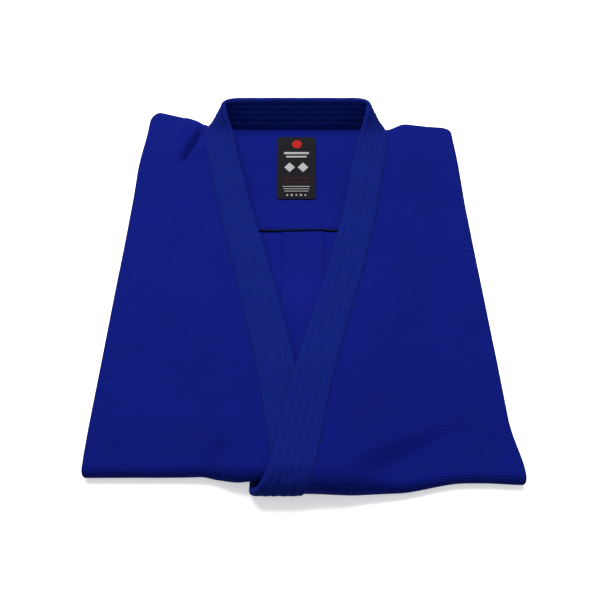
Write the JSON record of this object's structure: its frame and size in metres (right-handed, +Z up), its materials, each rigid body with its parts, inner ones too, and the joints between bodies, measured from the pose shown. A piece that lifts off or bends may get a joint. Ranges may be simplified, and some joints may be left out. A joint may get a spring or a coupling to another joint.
{
  "type": "folded judo jacket",
  "caption": "Blue heavy-cotton judo jacket, folded for display: fronts crossed, thick stitched collar band, sleeves folded behind and skirt turned under.",
  "frame": {"origin": "on the table, below the middle of the folded jacket's bounding box", "axes": "+Z up off the table, +Y from the folded near edge to the collar, +X to the wearer's left"},
  "size_m": [0.5042, 0.6399, 0.0952],
  "materials": {
    "pearl_weave": "matt royal-blue pearl-weave cotton",
    "skirt_weave": "matt royal-blue cotton of the lower jacket",
    "lapel_canvas": "matt blue canvas with rows of stitching",
    "drill_lining": "smooth blue cotton drill",
    "cotton_padding": "undyed stacked cotton",
    "piping": "dark navy cord",
    "woven_label": "black woven label with plain red and white marks"
  },
  "bodies": {
    "root": {"left_front_panel": "pearl_weave", "right_front_panel": "pearl_weave", "left_back_panel": "pearl_weave", "right_back_panel": "pearl_weave", "centre_back_tape": "drill_lining", "yoke_lining": "drill_lining", "yoke_piping": "piping", "neck_label": "woven_label", "left_shoulder_lining": "drill_lining", "right_shoulder_lining": "drill_lining", "left_lapel_cover": "lapel_canvas", "right_lapel_cover": "lapel_canvas", "collar_cover": "lapel_canvas", "left_lapel_core": "cotton_padding", "right_lapel_core": "cotton_padding", "collar_core": "cotton_padding", "left_sleeve": "pearl_weave", "right_sleeve": "pearl_weave", "left_cuff_band": "pearl_weave", "right_cuff_band": "pearl_weave", "left_underarm_gusset": "pearl_weave", "right_underarm_gusset": "pearl_weave", "left_front_skirt": "skirt_weave", "right_front_skirt": "skirt_weave", "back_skirt": "skirt_weave", "left_front_hem": "lapel_canvas", "right_front_hem": "lapel_canvas", "back_hem": "lapel_canvas", "left_vent_patch": "lapel_canvas", "right_vent_patch": "lapel_canvas"}
  },
  "joints": []
}
